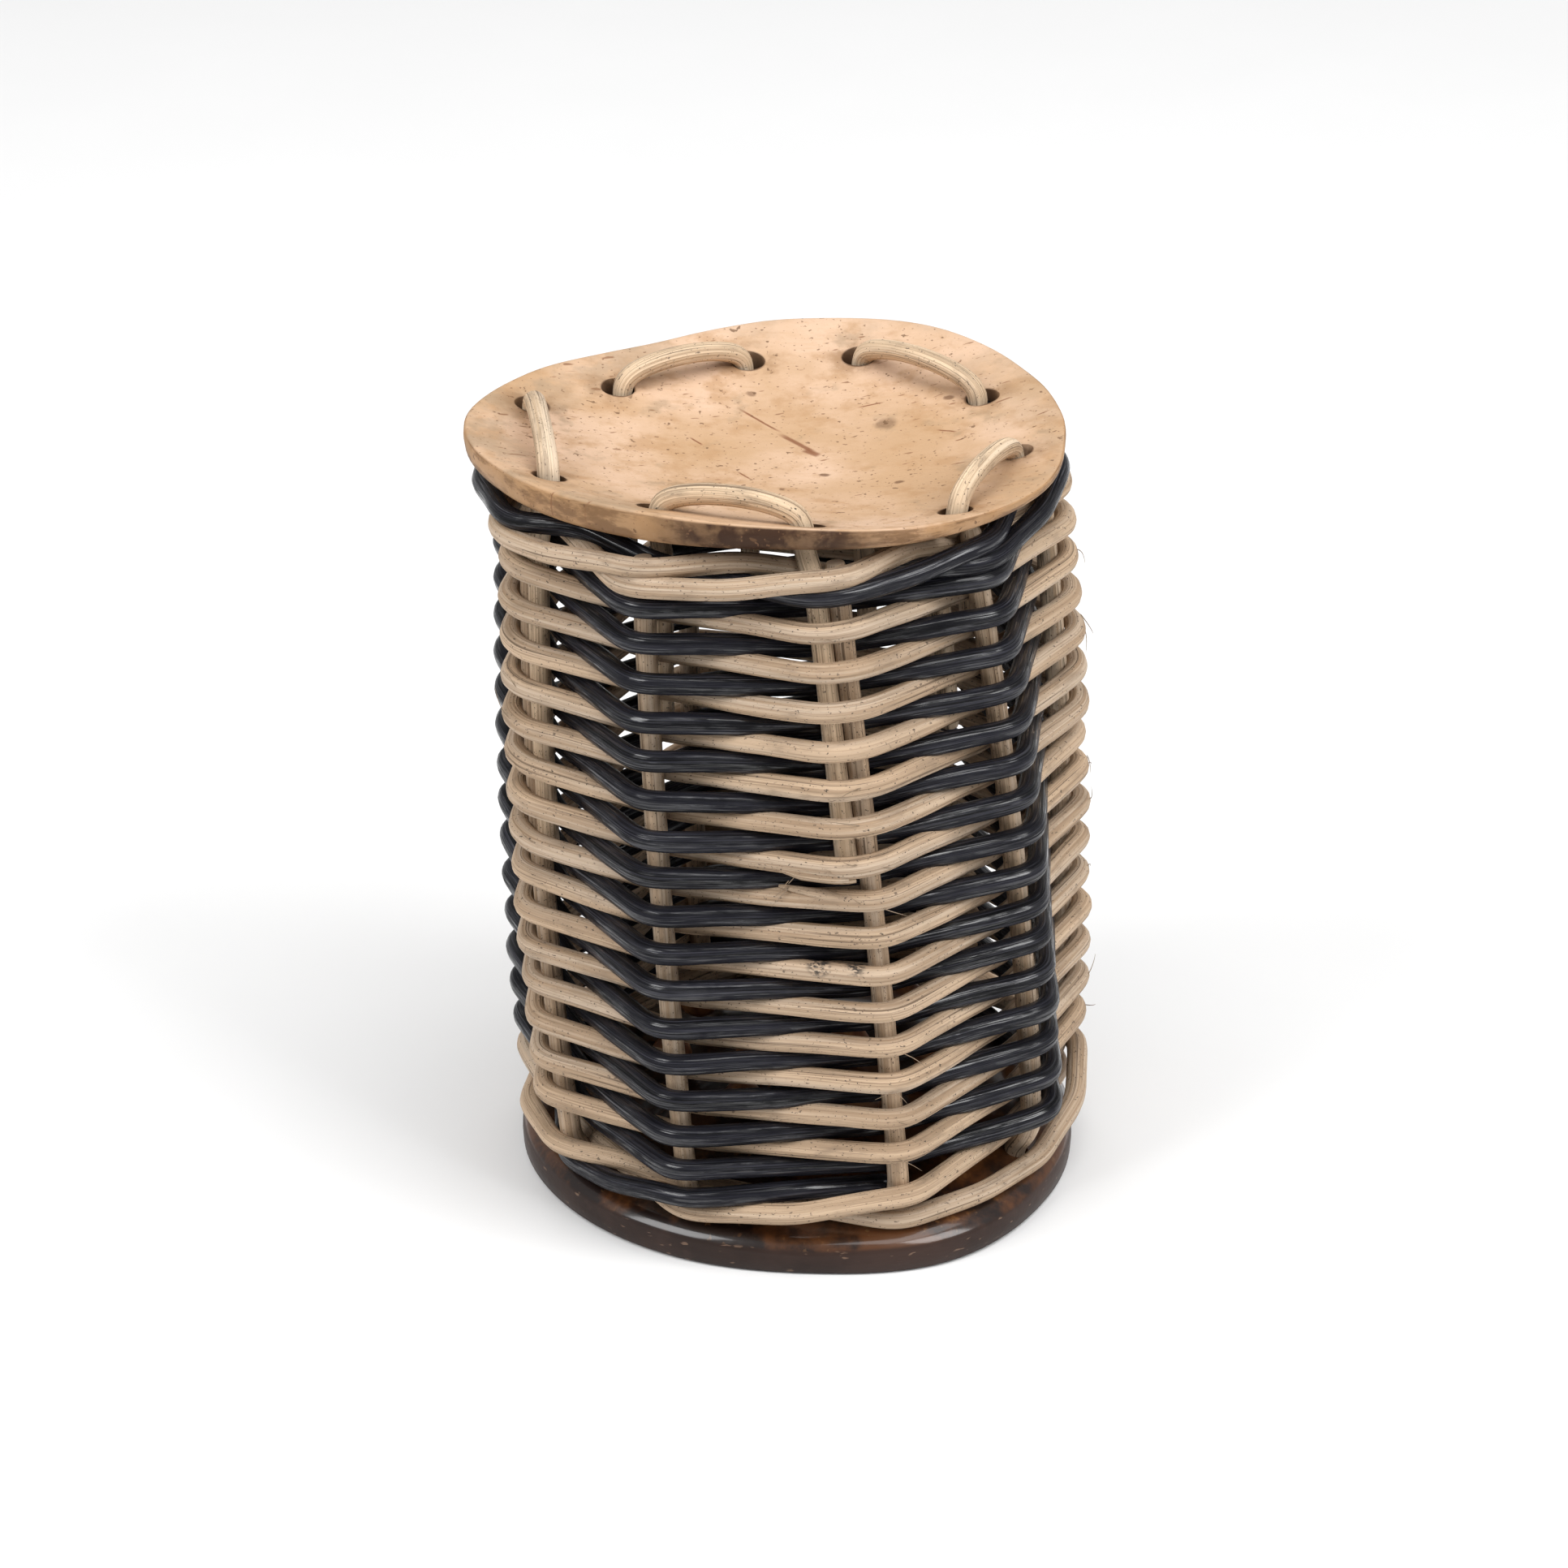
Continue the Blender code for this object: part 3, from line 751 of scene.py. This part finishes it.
def wale(name, rods, wale_shape, finishes):
    rng = np.random.default_rng(len(name) + len(rods))
    for colour, strokes in rods:
        points = wale_stroke(*strokes[0], wale_shape)
        for stroke in strokes[1:]:
            points.extend(wale_stroke(*stroke, wale_shape)[1:])
        line = even_line(soft_line(points, 2.2), SECTION_STEP)
        line = wavering(line, rng, 0.15, 0.15)
        shade = colour.split("_")[0]
        thick = WEAVER_THICK * fullness(line)
        piece = cane_mesh(f"{name}_rod_{colour}", line, thick, rng)
        dress(piece, finishes[shade], f"{shade}_cane", f"{name}_{colour}")


def stake_line(index):
    heights = [7.0, 9.0, 11.5, 20.0, 32.0, 44.0, 56.0, 68.0, 80.0, 92.0, 103.5]
    return [at_stake(index, 0.0, 0.0, height) for height in heights]


def stake_pair(number, finish):
    left, right = 2 * number, 2 * number + 1
    corners = []
    for index, towards in ((left, 1.0), (right, -1.0)):
        low = [at_stake(index, 0.0, 0.0, 3.4)]
        low.append(at_stake(index, -0.1, towards * 0.6, 2.3))
        low.append(at_stake(index, -0.3, towards * 1.9, 1.9))
        corners.append(low)
    points = list(reversed(stake_line(left))) + corners[0]
    points += list(reversed(corners[1])) + stake_line(right)
    rng = np.random.default_rng(40 + number)
    line = even_line(soft_line(points, 0.7), SECTION_STEP)
    piece = cane_mesh(f"stake_pair_cane_{number + 1}", line, STAKE_THICK, rng)
    dress(piece, finish, "natural_cane", f"stake_pair_{number + 1}")


# Ends and fibres


def joined(name, pieces):
    """One object made of several canes."""
    shape = bmesh.new()
    for piece in pieces:
        shape.from_mesh(piece.data)
        bpy.data.objects.remove(piece)
    mesh = bpy.data.meshes.new(name)
    shape.to_mesh(mesh)
    shape.free()
    mesh.shade_smooth()
    obj = bpy.data.objects.new(name, mesh)
    bpy.context.scene.collection.objects.link(obj)
    return obj


def fibre(start, out, ahead, length, rng):
    """A thin fibre that stands off a cane and curls."""
    side = 1.0 if rng.random() < 0.5 else -1.0
    lift, curl = rng.uniform(-0.6, 0.6, 2)
    share = np.linspace(0.0, 1.0, 8)[:, None]
    line = start + length * (side * ahead * share + out * 0.25 * share * (1.3 - share))
    line[:, 2] += length * (lift * share + curl * share**2)[:, 0]
    return cane_mesh("fibre", line, FIBRE_THICK, rng, (0.0, length))


def stray_fibres(lines, finish):
    """Fibres torn loose where the natural canes bend round the outside of a stake."""
    rng = np.random.default_rng(17)
    points = np.concatenate(lines)
    ahead = np.concatenate([np.gradient(line, axis=0) for line in lines])
    ahead /= np.linalg.norm(ahead, axis=1)[:, None]
    out = outward(points)
    walls = np.array([wall_radius(height) for height in points[:, 2]])
    across = points[:, 0] - CENTRE_X + LEAN * points[:, 2]
    stands_off = np.hypot(across, points[:, 1] - CENTRE_Y) - walls > 2.0
    pieces = []
    for index in rng.choice(np.flatnonzero(stands_off), FIBRES, replace=False):
        start = points[index] + out[index] * 1.15
        start[2] += rng.uniform(-0.9, 1.0)
        pieces.append(fibre(start, out[index], ahead[index], rng.uniform(1.4, 4.4), rng))
    dress(joined("stray_fibres", pieces), finish, "natural_cane")


def stretch(lines, low, high, height):
    """The part of a row in front between two sides, nearest to a height."""
    points = np.concatenate(lines)
    kept = (points[:, 1] < 0.0) & (points[:, 0] > low) & (points[:, 0] < high)
    kept &= np.abs(points[:, 2] - height) < PITCH / 2.0
    points = points[kept]
    points = points[np.argsort(points[:, 0])]
    return even_line(points, SECTION_STEP)


def splice(lines, finish):
    """Where one length of natural cane ends torn, and the next starts as a thin tail."""
    rng = np.random.default_rng(4)
    pieces = []
    for shift, drop, thick in ((0.0, 0.9, 1.5), (0.6, 1.2, 1.2), (1.3, 1.5, 0.8), (0.9, 0.7, 0.9)):
        line = stretch(lines, -3.5, 8.2 + shift, TORN_ROW)
        line = line + outward(line) * 0.75
        line[:, 2] -= drop * np.clip(np.arange(len(line)) / 7.0, 0.0, 1.0)
        pieces.append(cane_mesh("torn_end", line, thick, rng, (6.0, 0.0)))
    line = stretch(lines, -0.6, 9.0, TAIL_ROW)
    tail = line + outward(line) * 0.8
    tail[:, 2] += 1.9 - 1.3 * np.linspace(0.0, 1.0, len(line))
    pieces.append(cane_mesh("tail", tail, 1.5, rng, (7.0, 3.0)))
    for length, lift in ((2.4, 0.3), (1.9, 0.8), (2.8, 0.1), (1.6, 1.2)):
        start = tail[1] + (0.4, -0.5, lift)
        away = outward(start[None, :])[0]
        pieces.append(fibre(start, away, np.array((0.8, 0.0, 0.6)), length, rng))
    dress(joined("splice_of_natural_canes", pieces), finish, "natural_cane")


# Plates


def around(values, angle):
    place_in = (angle / math.tau * len(values)) % len(values)
    index = int(place_in)
    share = place_in - index
    a, b, c, d = (values[(index + step) % len(values)] for step in (-1, 0, 1, 2))
    bend = 2.0 * a - 5.0 * b + 4.0 * c - d
    curl = -a + 3.0 * b - 3.0 * c + d
    return 0.5 * (2.0 * b + (c - a) * share + bend * share**2 + curl * share**3)


def head_height(angle, share):
    mean = sum(HEAD_RIM_HEIGHTS) / len(HEAD_RIM_HEIGHTS)
    rim = mean + (around(HEAD_RIM_HEIGHTS, angle) - mean) * share**2
    return rim - HEAD_HOLLOW * (1.0 - share**2)


def head_thick(angle, share):
    return HEAD_THICK + (around(HEAD_RIM_THICKS, angle) - HEAD_THICK) * share**4


def head_point(angle, radius, depth):
    """A place in the disc. The depth runs from 0 on its upper face to 1 on its lower one."""
    share = radius / around(HEAD_RADII, angle)
    height = head_height(angle, share) - depth * head_thick(angle, share)
    x = CENTRE_X - LEAN * STAKE_TOP + radius * math.sin(angle)
    return Vector((x, CENTRE_Y - radius * math.cos(angle), height))


def hole_lines():
    """The lower and upper end of each stitch hole, set a little beyond its cane."""
    lines = []
    for _, one, two in STITCHES:
        for end, other in ((one, two), (two, one)):
            low, high = (head_point(math.radians(end[0]), end[1], depth) for depth in (1.6, -1.0))
            beyond = low - head_point(math.radians(other[0]), other[1], 1.6)
            beyond = Vector((beyond.x, beyond.y, 0.0)).normalized() * HOLE_SHIFT
            lines.append((low + beyond, high + beyond))
    return lines


def ring_surface(name, rows, segments, point_at):
    """A closed skin of rings. A row holds a share of the radius, a drop, and a UV."""
    shape = bmesh.new()
    layer = shape.loops.layers.uv.new("UVMap")
    rings = []
    for share, drop, _ in rows:
        count = segments if share > 0.0 else 1
        angles = [math.tau * step / segments for step in range(count)]
        rings.append([shape.verts.new(point_at(angle, share, drop) * MM) for angle in angles])
    for (one, two), (row_one, row_two) in zip(zip(rings, rings[1:]), zip(rows, rows[1:])):
        for step in range(segments):
            after = (step + 1) % segments
            corners = [(one[step % len(one)], row_one), (one[after % len(one)], row_one)]
            corners += [(two[after % len(two)], row_two), (two[step % len(two)], row_two)]
            kept = {vert: row for vert, row in corners}
            face = shape.faces.new(list(kept))
            for loop in face.loops:
                loop[layer].uv = kept[loop.vert][2]
    bmesh.ops.recalc_face_normals(shape, faces=shape.faces)
    mesh = bpy.data.meshes.new(name)
    shape.to_mesh(mesh)
    shape.free()
    obj = bpy.data.objects.new(name, mesh)
    bpy.context.scene.collection.objects.link(obj)
    return obj


def hole_cutter(low, high, radius, flare):
    """A round cutter, wider at its upper mouth, where a hole's edge has worn."""
    shape = bmesh.new()
    axis = high - low
    length = axis.length
    rows = ((0.0, 1.0 + flare), (0.3, 1.0), (0.55, 1.0), (0.72, 1.0 + flare), (1.0, 1.0 + 2.5 * flare))
    rings = []
    for share, wide in rows:
        ring = []
        for step in range(24):
            angle = math.tau * step / 24
            wobble = 1.0 + 0.05 * math.sin(3 * angle + low.x)
            flat = Vector((math.cos(angle), math.sin(angle), 0.0)) * radius * wide * wobble
            ring.append(shape.verts.new((flat + Vector((0, 0, share * length))) * MM))
        rings.append(ring)
    for one, two in zip(rings, rings[1:]):
        for step in range(24):
            after = (step + 1) % 24
            shape.faces.new((one[step], one[after], two[after], two[step]))
    shape.faces.new(list(reversed(rings[0])))
    shape.faces.new(rings[-1])
    bmesh.ops.recalc_face_normals(shape, faces=shape.faces)
    mesh = bpy.data.meshes.new("hole")
    shape.to_mesh(mesh)
    shape.free()
    cutter = bpy.data.objects.new("hole", mesh)
    cutter.location = low * MM
    cutter.rotation_mode = "QUATERNION"
    cutter.rotation_quaternion = Vector((0, 0, 1)).rotation_difference(axis.normalized())
    bpy.context.scene.collection.objects.link(cutter)
    return cutter


def cut_holes(target, cutters):
    for cutter in cutters:
        hole = target.modifiers.new("hole", "BOOLEAN")
        hole.operation = "DIFFERENCE"
        hole.solver = "EXACT"
        hole.object = cutter
    bpy.context.view_layer.update()
    graph = bpy.context.evaluated_depsgraph_get()
    mesh = bpy.data.meshes.new_from_object(target.evaluated_get(graph))
    target.modifiers.clear()
    target.data = mesh
    for cutter in cutters:
        bpy.data.objects.remove(cutter)
    mesh.shade_smooth()
    mesh.set_sharp_from_angle(angle=math.radians(48.0))


def head_plate(finish):
    rng = random.Random(5)
    phases = [rng.uniform(0, math.tau) for _ in range(5)]

    def edge(angle):
        chips = sum(math.sin((5 + 4 * k) * angle + phase) / (1 + k) for k, phase in enumerate(phases))
        return around(HEAD_RADII, angle) + 0.10 * chips

    def point_at(angle, share, drop):
        point = head_point(angle, edge(angle) * share, drop)
        point.z += 0.12 * math.sin(3 * angle + 5 * share) * share
        return point

    rows = [(share, 0.0, (share, 0.0)) for share in np.linspace(0.0, 0.985, 34)]
    rows += [(0.994, 0.05, (0.995, 0.1)), (1.0, 0.16, (1.0, 0.4)), (1.002, 0.5, (1.0, 0.6))]
    rows += [(0.998, 0.84, (1.0, 0.8)), (0.988, 0.97, (1.0, 0.9))]
    rows += [(share, 1.0, (share, 1.0)) for share in np.linspace(0.97, 0.0, 20)]
    plate = ring_surface("gourd_disc", rows, 144, point_at)
    cut_holes(plate, [hole_cutter(low, high, HOLE_RADIUS, 0.08) for low, high in hole_lines()])
    dress(plate, finish, "gourd", "head_plate")


def shell_height(radius, ball):
    centre = FOOT_RIM - math.sqrt(SHELL_RADIUS**2 - FOOT_RADIUS**2)
    return centre + math.sqrt(ball**2 - radius**2)


def foot_plate(finish):
    rng = random.Random(9)
    phases = [rng.uniform(0, math.tau) for _ in range(6)]

    def waver(angle):
        return sum(math.sin((2 + k) * angle + phase) / (2 + k) for k, phase in enumerate(phases))

    def point_at(angle, radius, height):
        spread = around(FOOT_RADII, angle) / FOOT_RADIUS + 0.003 * waver(angle)
        reach = radius * (1.0 + (spread - 1.0) * smooth_step((radius - 30.0) / 8.0))
        flat = Vector((math.sin(angle), -math.cos(angle), 0.0)) * reach
        rise = 0.18 * waver(2 * angle + 1.0) * smooth_step(height / FOOT_RIM)
        return Vector((CENTRE_X, CENTRE_Y, height + rise)) + flat

    inner = SHELL_RADIUS - SHELL_THICK
    rows = [(r, shell_height(r, SHELL_RADIUS), (r / 38.4, 0.0)) for r in np.linspace(0, 37.6, 30)]
    rows += [(38.1, 3.9, (1.0, 0.25)), (38.4, 3.5, (1.0, 0.5)), (38.5, 1.8, (1.0, 1.0))]
    rows += [(38.4, 0.4, (1.0, 1.0)), (38.0, 0.0, (1.0, 1.0)), (35.6, 0.0, (0.9, 1.0))]
    rows += [(35.2, 3.5, (0.9, 1.0)), (30.0, shell_height(30.0, inner), (0.8, 1.0))]
    rows += [(r, shell_height(r, inner), (r / 38.4, 1.0)) for r in np.linspace(28, 0, 12)]
    plate = ring_surface("coconut_foot", rows, 144, point_at)
    cutters = []
    for index in range(STAKES):
        low = at_stake(index, 0.0, 0.0, 0.5)
        high = Vector((low.x, low.y, 12.0))
        cutters.append(hole_cutter(low, high, 1.75, 0.0))
    cut_holes(plate, cutters)
    dress(plate, finish, "coconut_shell", "foot_plate")


# Stitches


def inboard_radius(index, angle, height):
    """Where a leg clears the canes, which run straight between this stake and the next."""
    one, two = stake_angle(index, height), stake_angle(index + 1, height)
    half = (two - one) / 2.0
    offset = angle - (one + two) / 2.0
    chord = wall_radius(height) * math.cos(half) / math.cos(offset)
    return chord - INBOARD_BETWEEN - (INBOARD - INBOARD_BETWEEN) * (offset / half) ** 2


def stitch_leg(end):
    degrees, radius, stake, side, low = end
    angle = math.radians(degrees)
    points = [head_point(angle, radius, depth) for depth in (0.0, 0.2, 1.2)]
    points[0].z += ARCH_START
    heights = list(LEG_TOP_HEIGHTS)
    while heights[-1] - 14.0 > low:
        heights.append(heights[-1] - 14.0)
    heights.append(low)
    for height in heights:
        entry = -0.4 if height == heights[0] else 0.0
        if side:
            points.append(at_stake(stake, entry, side * PAIR, height))
        else:
            points.append(beside(angle, inboard_radius(stake, angle, height), 0.0, height))
    return points


def stitch(name, one, two, finish):
    first, second = stitch_leg(one), stitch_leg(two)
    over = []
    for share, rise in ((0.1, 0.5), (0.3, 0.9), (0.5, 1.0), (0.7, 0.9), (0.9, 0.5)):
        point = first[0].lerp(second[0], share)
        point.z += ARCH_RISE * rise
        over.append(point)
    points = list(reversed(first)) + over + second
    rng = np.random.default_rng(len(name) * 7)
    line = even_line(soft_line(points, 1.3), 0.7)
    piece = cane_mesh(f"{name}_stitch_cane", line, STITCH_THICK, rng)
    dress(piece, finish, "natural_cane", f"stitch_{name}")
    return line


def frayed_stitch(line, finish):
    """Fibres torn loose from the top of a stitch."""
    rng = np.random.default_rng(12)
    ahead = np.gradient(line, axis=0)
    ahead /= np.linalg.norm(ahead, axis=1)[:, None]
    above = np.flatnonzero(line[:, 2] > line[:, 2].max() - 3.5)
    pieces = []
    for index in rng.choice(above, 10, replace=False):
        out = np.array((rng.uniform(-0.8, 0.8), -0.5, 0.6))
        out /= np.linalg.norm(out)
        start = line[index] + out * STITCH_THICK * 0.44
        pieces.append(fibre(start, out, ahead[index], rng.uniform(1.2, 3.4), rng))
    dress(joined("frayed_stitch_fibres", pieces), finish, "natural_cane")


# Seeds


def seeds(finish):
    """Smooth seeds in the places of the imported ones, each with a scar at one end."""
    for number in range(1, 11):
        node = f"seed_{number:02d}"
        low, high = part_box(node)
        centre = (low + high) / 2.0
        shape = bmesh.new()
        bmesh.ops.create_uvsphere(shape, u_segments=28, v_segments=18, radius=1.0)
        size = Vector((2.75, 3.0, 2.6)) * MM
        for vert in shape.verts:
            pinch = 0.12 * math.exp(-((vert.co - Vector((0, 1, 0))).length / 0.35) ** 2)
            vert.co *= 1.0 - pinch
            vert.co = Vector((vert.co.x * size.x, vert.co.y * size.y, vert.co.z * size.z))
        mesh = bpy.data.meshes.new(f"loose_bean_{number:02d}")
        shape.to_mesh(mesh)
        shape.free()
        mesh.shade_smooth()
        bean = bpy.data.objects.new(f"loose_bean_{number:02d}", mesh)
        bean.location = centre
        bean.rotation_euler = (0.0, 0.0, number * 1.3)
        bpy.context.scene.collection.objects.link(bean)
        mesh.materials.append(finish)
        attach(bean, f"loose_{node}")
        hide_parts(node)


# Studio


def floor():
    finish = Finish("paper_floor")
    grain = finish.noise(finish.place(), 30.0, 2.0)
    finish.end(
        Base_Color=finish.blend(grain, (0.80, 0.80, 0.80), (0.82, 0.82, 0.82)),
        Roughness=0.9,
        Specular_IOR_Level=0.1,
    )
    mesh = bpy.data.meshes.new("paper_floor")
    far = 4.0
    mesh.from_pydata([(-far, -far, 0), (far, -far, 0), (far, far, 0), (-far, far, 0)], [], [(0, 1, 2, 3)])
    sheet = bpy.data.objects.new("paper_floor", mesh)
    sheet.location.z = -0.0001
    mesh.materials.append(finish.material)
    bpy.context.scene.collection.objects.link(sheet)


def light(name, position, size, power):
    lamp = bpy.data.lights.new(name, "AREA")
    lamp.shape = "SQUARE"
    lamp.size = size
    lamp.energy = power
    obj = bpy.data.objects.new(name, lamp)
    obj.location = position
    aim = Vector((0.0, 0.0, 0.06)) - obj.location
    obj.rotation_euler = aim.to_track_quat("-Z", "Y").to_euler()
    bpy.context.scene.collection.objects.link(obj)


def camera():
    lens = bpy.data.cameras.new("camera")
    lens.sensor_width = 36.0
    lens.lens = 36.0 * 7027.0 / 1932.0
    lens.clip_start = 0.01
    obj = bpy.data.objects.new("camera", lens)
    aim = Vector((0.00026, 0.00069, 0.0549))
    rise = math.radians(26.9)
    away = Vector((0.0, -math.cos(rise), math.sin(rise)))
    obj.location = aim + away * 0.78
    obj.rotation_euler = (-away).to_track_quat("-Z", "Y").to_euler()
    bpy.context.scene.collection.objects.link(obj)
    bpy.context.scene.camera = obj


def studio():
    world = bpy.data.worlds.new("studio")
    world.use_nodes = True
    world.node_tree.nodes["Background"].inputs["Color"].default_value = (1, 1, 1, 1)
    world.node_tree.nodes["Background"].inputs["Strength"].default_value = 0.36
    bpy.context.scene.world = world
    bpy.context.scene.view_settings.view_transform = "Standard"
    light("left key", (-0.8, -0.5, 0.9), 0.7, 9.6)
    light("right key", (0.8, -0.5, 0.9), 0.7, 10.4)
    light("overhead", (0.1, -0.05, 1.1), 0.9, 7.0)
    floor()
    camera()


def main():
    natural = natural_cane("natural_cane_bare", *BARE_TONES)
    # A copy of the natural cane painted lighter for the stitches: painted light from above
    painted_lit_natural = natural_cane("natural_cane_painted_lit", *PAINTED_LIT_TONES)
    black = black_cane()
    finishes = {"natural": natural, "black": black}
    for number in range(STAKES // 2):
        stake_pair(number, natural)
    wale("foot_wale", FOOT_RODS, FOOT_WALE, finishes)
    wale("head_wale", HEAD_RODS, HEAD_WALE, finishes)
    lines = weaver("natural", NATURAL_CUTS, NATURAL_ROW, False, natural)
    stray_fibres(lines, natural)
    splice(lines, natural)
    weaver("black", BLACK_CUTS, BLACK_ROW, True, black)
    head_plate(gourd_flesh())
    foot_plate(coconut_shell())
    sewn = {name: stitch(name, one, two, painted_lit_natural) for name, one, two in STITCHES}
    frayed_stitch(sewn["right"], painted_lit_natural)
    seeds(seed_coat())
    studio()


main()
